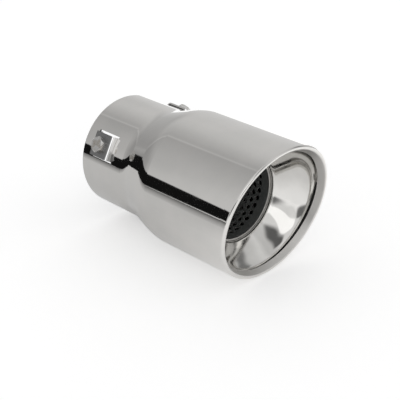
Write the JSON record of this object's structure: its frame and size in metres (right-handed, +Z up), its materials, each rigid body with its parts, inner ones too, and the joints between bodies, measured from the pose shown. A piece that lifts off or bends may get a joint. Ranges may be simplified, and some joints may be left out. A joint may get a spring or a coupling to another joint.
{
  "type": "exhaust tip",
  "caption": "Polished round exhaust tip: a collar clamped on a tailpipe by bolts, a flare to a wider body, and a slanted rolled outlet with a funnel and perforated liner.",
  "frame": {"origin": "centre of the collar's open inlet end, on the tip's axis", "axes": "+Y along the axis out of the inlet, towards the car; the outlet faces -Y; +Z up, on the side where the slanted outlet reaches furthest; +X completes the right-handed set"},
  "size_m": [0.076, 0.1261, 0.0763],
  "materials": {
    "polished_steel": "mirror polished stainless steel",
    "funnel_steel": "polished stainless steel",
    "black_steel": "black coated steel",
    "plain_steel": "unpolished stainless steel",
    "bolt_steel": "satin stainless steel"
  },
  "bodies": {
    "root": {"outer_shell": "polished_steel", "outlet_cone": "funnel_steel", "perforated_liner": "black_steel", "liner_ring": "plain_steel", "clamp_bolt_1": "bolt_steel", "clamp_bolt_2": "bolt_steel", "clamp_bolt_3": "bolt_steel", "clamp_nut_1": "plain_steel", "clamp_nut_2": "plain_steel", "clamp_nut_3": "plain_steel"}
  },
  "joints": []
}
